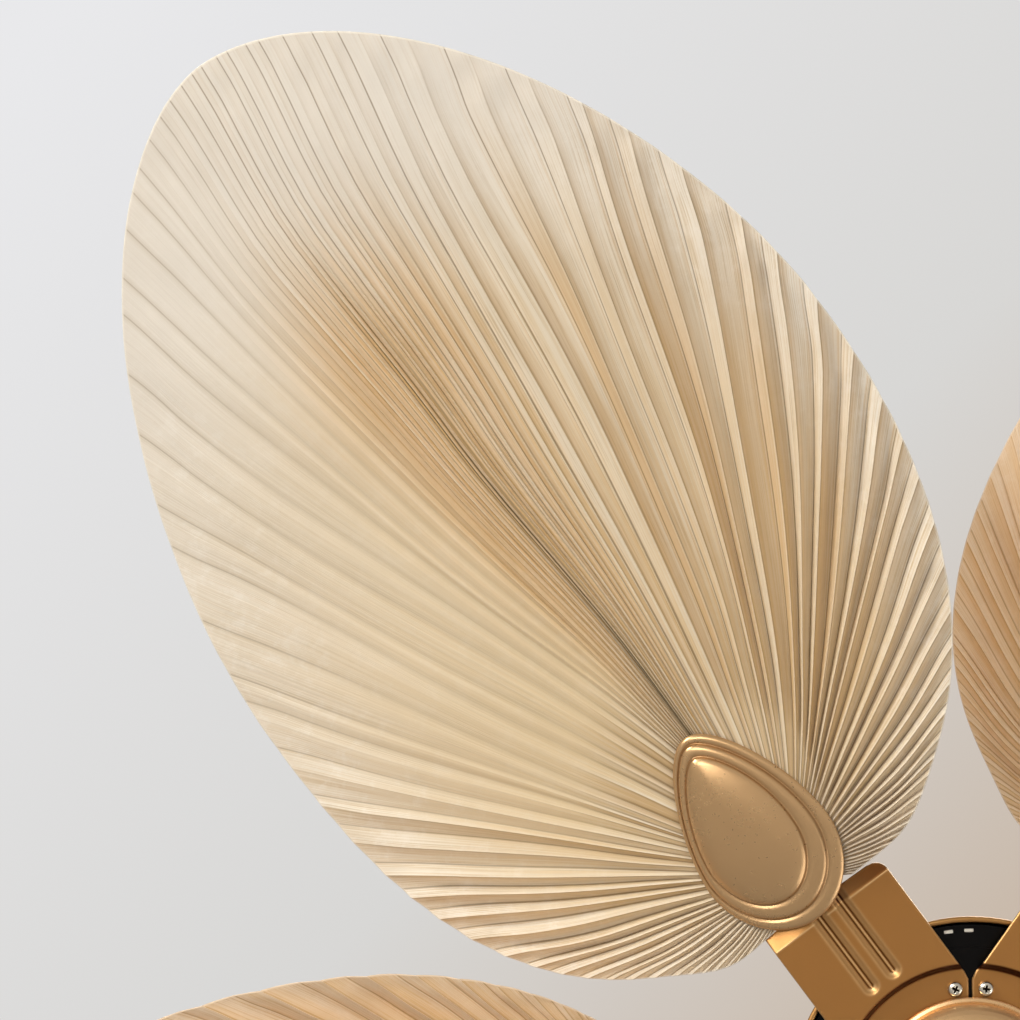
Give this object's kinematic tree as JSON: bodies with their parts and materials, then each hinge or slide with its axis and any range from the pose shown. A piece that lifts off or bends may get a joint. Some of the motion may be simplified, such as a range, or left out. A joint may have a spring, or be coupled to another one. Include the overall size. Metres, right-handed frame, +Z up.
{
  "type": "twin head ceiling fan",
  "caption": "Ceiling fan with a canopy and down rod, a cross bar and two tilting motor heads, each spinning pleated palm-leaf blades on metal arms.",
  "frame": {"origin": "centre of the hanger bracket's ceiling face, midway between its two screw slots", "axes": "+Z up into the ceiling, +X along the cross bar to the right head, +Y square to the bar"},
  "size_m": [2.7166, 1.2293, 0.5954],
  "materials": {
    "bronze_gold_paint": "satin",
    "gold_painted_casting": "satin",
    "champagne_gold_paint": "satin",
    "zinc_plated_steel": "satin",
    "black_paint": "satin",
    "palm_leaf": "matte",
    "black_plastic": "matte",
    "white_nylon": "satin",
    "laminated_steel": "matte",
    "copper_wire": "satin"
  },
  "bodies": {
    "ceiling_mount": {"hanger_bracket": "zinc_plated_steel", "canopy": "bronze_gold_paint", "canopy_screws": "zinc_plated_steel", "receiver_box": "black_plastic"},
    "suspension": {"hanger_ball": "white_nylon", "downrod": "bronze_gold_paint", "centre_tee": "gold_painted_casting", "cross_bar": "bronze_gold_paint", "bar_caps": "bronze_gold_paint", "cross_pins": "zinc_plated_steel", "left_fork": "gold_painted_casting", "right_fork": "gold_painted_casting", "left_tilt_bolt": "zinc_plated_steel", "right_tilt_bolt": "zinc_plated_steel"},
    "left_knob": {"left_tilt_knob": "bronze_gold_paint"},
    "left_head": {"left_stem": "gold_painted_casting", "left_motor_shaft": "zinc_plated_steel", "left_stator_core": "laminated_steel", "left_stator_coils": "copper_wire", "left_motor_housing": "bronze_gold_paint", "left_hub_cap": "champagne_gold_paint", "left_cap_nut": "champagne_gold_paint"},
    "left_rotor": {"left_rotor_drum": "black_paint", "left_rotor_base": "black_paint", "left_bearings": "zinc_plated_steel", "left_blade_screws": "zinc_plated_steel", "left_medallions": "champagne_gold_paint", "left_arm_1": "bronze_gold_paint", "left_arm_2": "bronze_gold_paint", "left_arm_3": "bronze_gold_paint", "left_arm_4": "bronze_gold_paint", "left_arm_5": "bronze_gold_paint", "left_leaf_1": "palm_leaf", "left_leaf_2": "palm_leaf", "left_leaf_3": "palm_leaf", "left_leaf_4": "palm_leaf", "left_leaf_5": "palm_leaf"},
    "right_knob": {"right_tilt_knob": "bronze_gold_paint"},
    "right_head": {"right_stem": "gold_painted_casting", "right_motor_shaft": "zinc_plated_steel", "right_stator_core": "laminated_steel", "right_stator_coils": "copper_wire", "right_motor_housing": "bronze_gold_paint", "right_hub_cap": "champagne_gold_paint", "right_cap_nut": "champagne_gold_paint"},
    "right_rotor": {"right_rotor_drum": "black_paint", "right_rotor_base": "black_paint", "right_bearings": "zinc_plated_steel", "right_blade_screws": "zinc_plated_steel", "right_medallions": "champagne_gold_paint", "right_arm_1": "bronze_gold_paint", "right_arm_2": "bronze_gold_paint", "right_arm_3": "bronze_gold_paint", "right_arm_4": "bronze_gold_paint", "right_arm_5": "bronze_gold_paint", "right_leaf_1": "palm_leaf", "right_leaf_2": "palm_leaf", "right_leaf_3": "palm_leaf", "right_leaf_4": "palm_leaf", "right_leaf_5": "palm_leaf"}
  },
  "joints": [
    {"name": "rod_swing", "type": "hinge", "parent": "ceiling_mount", "child": "suspension", "pos_m": [0, 0, -0.058], "axis": [0, 1, 0], "range_deg": [-8, 8]},
    {"name": "left_tilt", "type": "hinge", "parent": "suspension", "child": "left_head", "pos_m": [-0.72, 0, -0.4], "axis": [1, 0, 0], "range_deg": [-25, 25]},
    {"name": "left_knob_turn", "type": "hinge", "parent": "suspension", "child": "left_knob", "pos_m": [-0.72, 0, -0.4], "axis": [-1, 0, 0], "range_deg": [-180, 180]},
    {"name": "left_spin", "type": "hinge", "parent": "left_head", "child": "left_rotor", "pos_m": [-0.72, 0, -0.55], "axis": [0, 0, 1], "continuous": true},
    {"name": "right_tilt", "type": "hinge", "parent": "suspension", "child": "right_head", "pos_m": [0.72, 0, -0.4], "axis": [1, 0, 0], "range_deg": [-25, 25]},
    {"name": "right_knob_turn", "type": "hinge", "parent": "suspension", "child": "right_knob", "pos_m": [0.72, 0, -0.4], "axis": [1, 0, 0], "range_deg": [-180, 180]},
    {"name": "right_spin", "type": "hinge", "parent": "right_head", "child": "right_rotor", "pos_m": [0.72, 0, -0.55], "axis": [0, 0, 1], "continuous": true}
  ]
}
